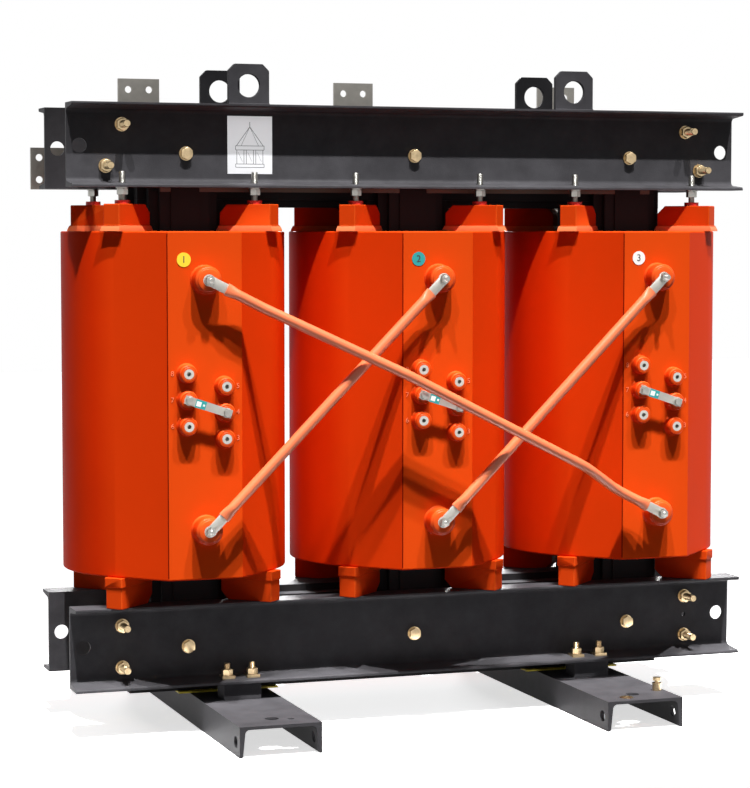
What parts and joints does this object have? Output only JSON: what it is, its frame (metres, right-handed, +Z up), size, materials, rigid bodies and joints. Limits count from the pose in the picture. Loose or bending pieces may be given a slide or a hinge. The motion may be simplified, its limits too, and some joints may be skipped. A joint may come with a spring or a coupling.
{
  "type": "dry type transformer",
  "caption": "Open cast-resin dry type transformer: coil columns on a laminated core, steel clamp beams and feet, lifting lugs, sleeved delta links, tap links and rear terminals.",
  "frame": {"origin": "on the floor, midway between the beams' ends and midway between the feet's ends", "axes": "+X along the clamp beams, the high-voltage front faces -Y, +Z up"},
  "size_m": [1.76, 1.016, 1.62],
  "materials": {
    "frame_paint": "satin",
    "core_steel": "matte",
    "clamp_strip": "matte",
    "yoke_pad": "matte",
    "hv_resin": "satin",
    "lv_resin": "matte",
    "block_resin": "satin",
    "jack_rubber": "matte",
    "zinc": "satin",
    "yellow_zinc": "satin",
    "tinned_copper": "satin",
    "insert_metal": "satin",
    "link_sleeve": "gloss",
    "label": "matte",
    "disc_yellow": "matte",
    "disc_teal": "matte",
    "disc_white": "matte"
  },
  "bodies": {
    "root": {"beam_washers": "yellow_zinc", "bottom_beam_front": "frame_paint", "bottom_beam_rear": "frame_paint", "bottom_blocks": "block_resin", "clamp_nuts": "yellow_zinc", "clamp_strips": "clamp_strip", "clamp_studs": "yellow_zinc", "core_bottom_yoke": "core_steel", "core_limb_a": "core_steel", "core_limb_b": "core_steel", "core_limb_c": "core_steel", "core_top_yoke": "core_steel", "foot_blocks": "frame_paint", "foot_bolt_nuts": "yellow_zinc", "foot_bolt_washers": "yellow_zinc", "foot_bolts": "yellow_zinc", "foot_left": "frame_paint", "foot_right": "frame_paint", "hv_coil_a": "hv_resin", "hv_coil_b": "hv_resin", "hv_coil_c": "hv_resin", "jack_nuts": "zinc", "jack_pads": "jack_rubber", "jack_studs": "zinc", "jack_washers": "zinc", "label_plate": "label", "lifting_lugs": "frame_paint", "link_a_to_c_bar": "tinned_copper", "link_a_to_c_sleeve": "link_sleeve", "link_b_to_a_bar": "tinned_copper", "link_b_to_a_sleeve": "link_sleeve", "link_c_to_b_bar": "tinned_copper", "link_c_to_b_sleeve": "link_sleeve", "lv_bar_a": "tinned_copper", "lv_bar_b": "tinned_copper", "lv_bar_c": "tinned_copper", "lv_coil_a": "lv_resin", "lv_coil_b": "lv_resin", "lv_coil_c": "lv_resin", "neutral_bar": "tinned_copper", "neutral_risers": "tinned_copper", "phase_disc_a": "disc_yellow", "phase_disc_b": "disc_teal", "phase_disc_c": "disc_white", "ship_bolt": "yellow_zinc", "ship_bolt_sleeve": "yellow_zinc", "ship_bolt_washer": "yellow_zinc", "tap_bolts": "zinc", "tap_inserts": "insert_metal", "tap_links": "tinned_copper", "terminal_bolts": "zinc", "terminal_inserts": "insert_metal", "terminal_washers": "zinc", "tie_bolts": "yellow_zinc", "tie_plates": "core_steel", "top_beam_front": "frame_paint", "top_beam_rear": "frame_paint", "top_blocks": "block_resin", "yoke_pads": "yoke_pad"}
  },
  "joints": []
}
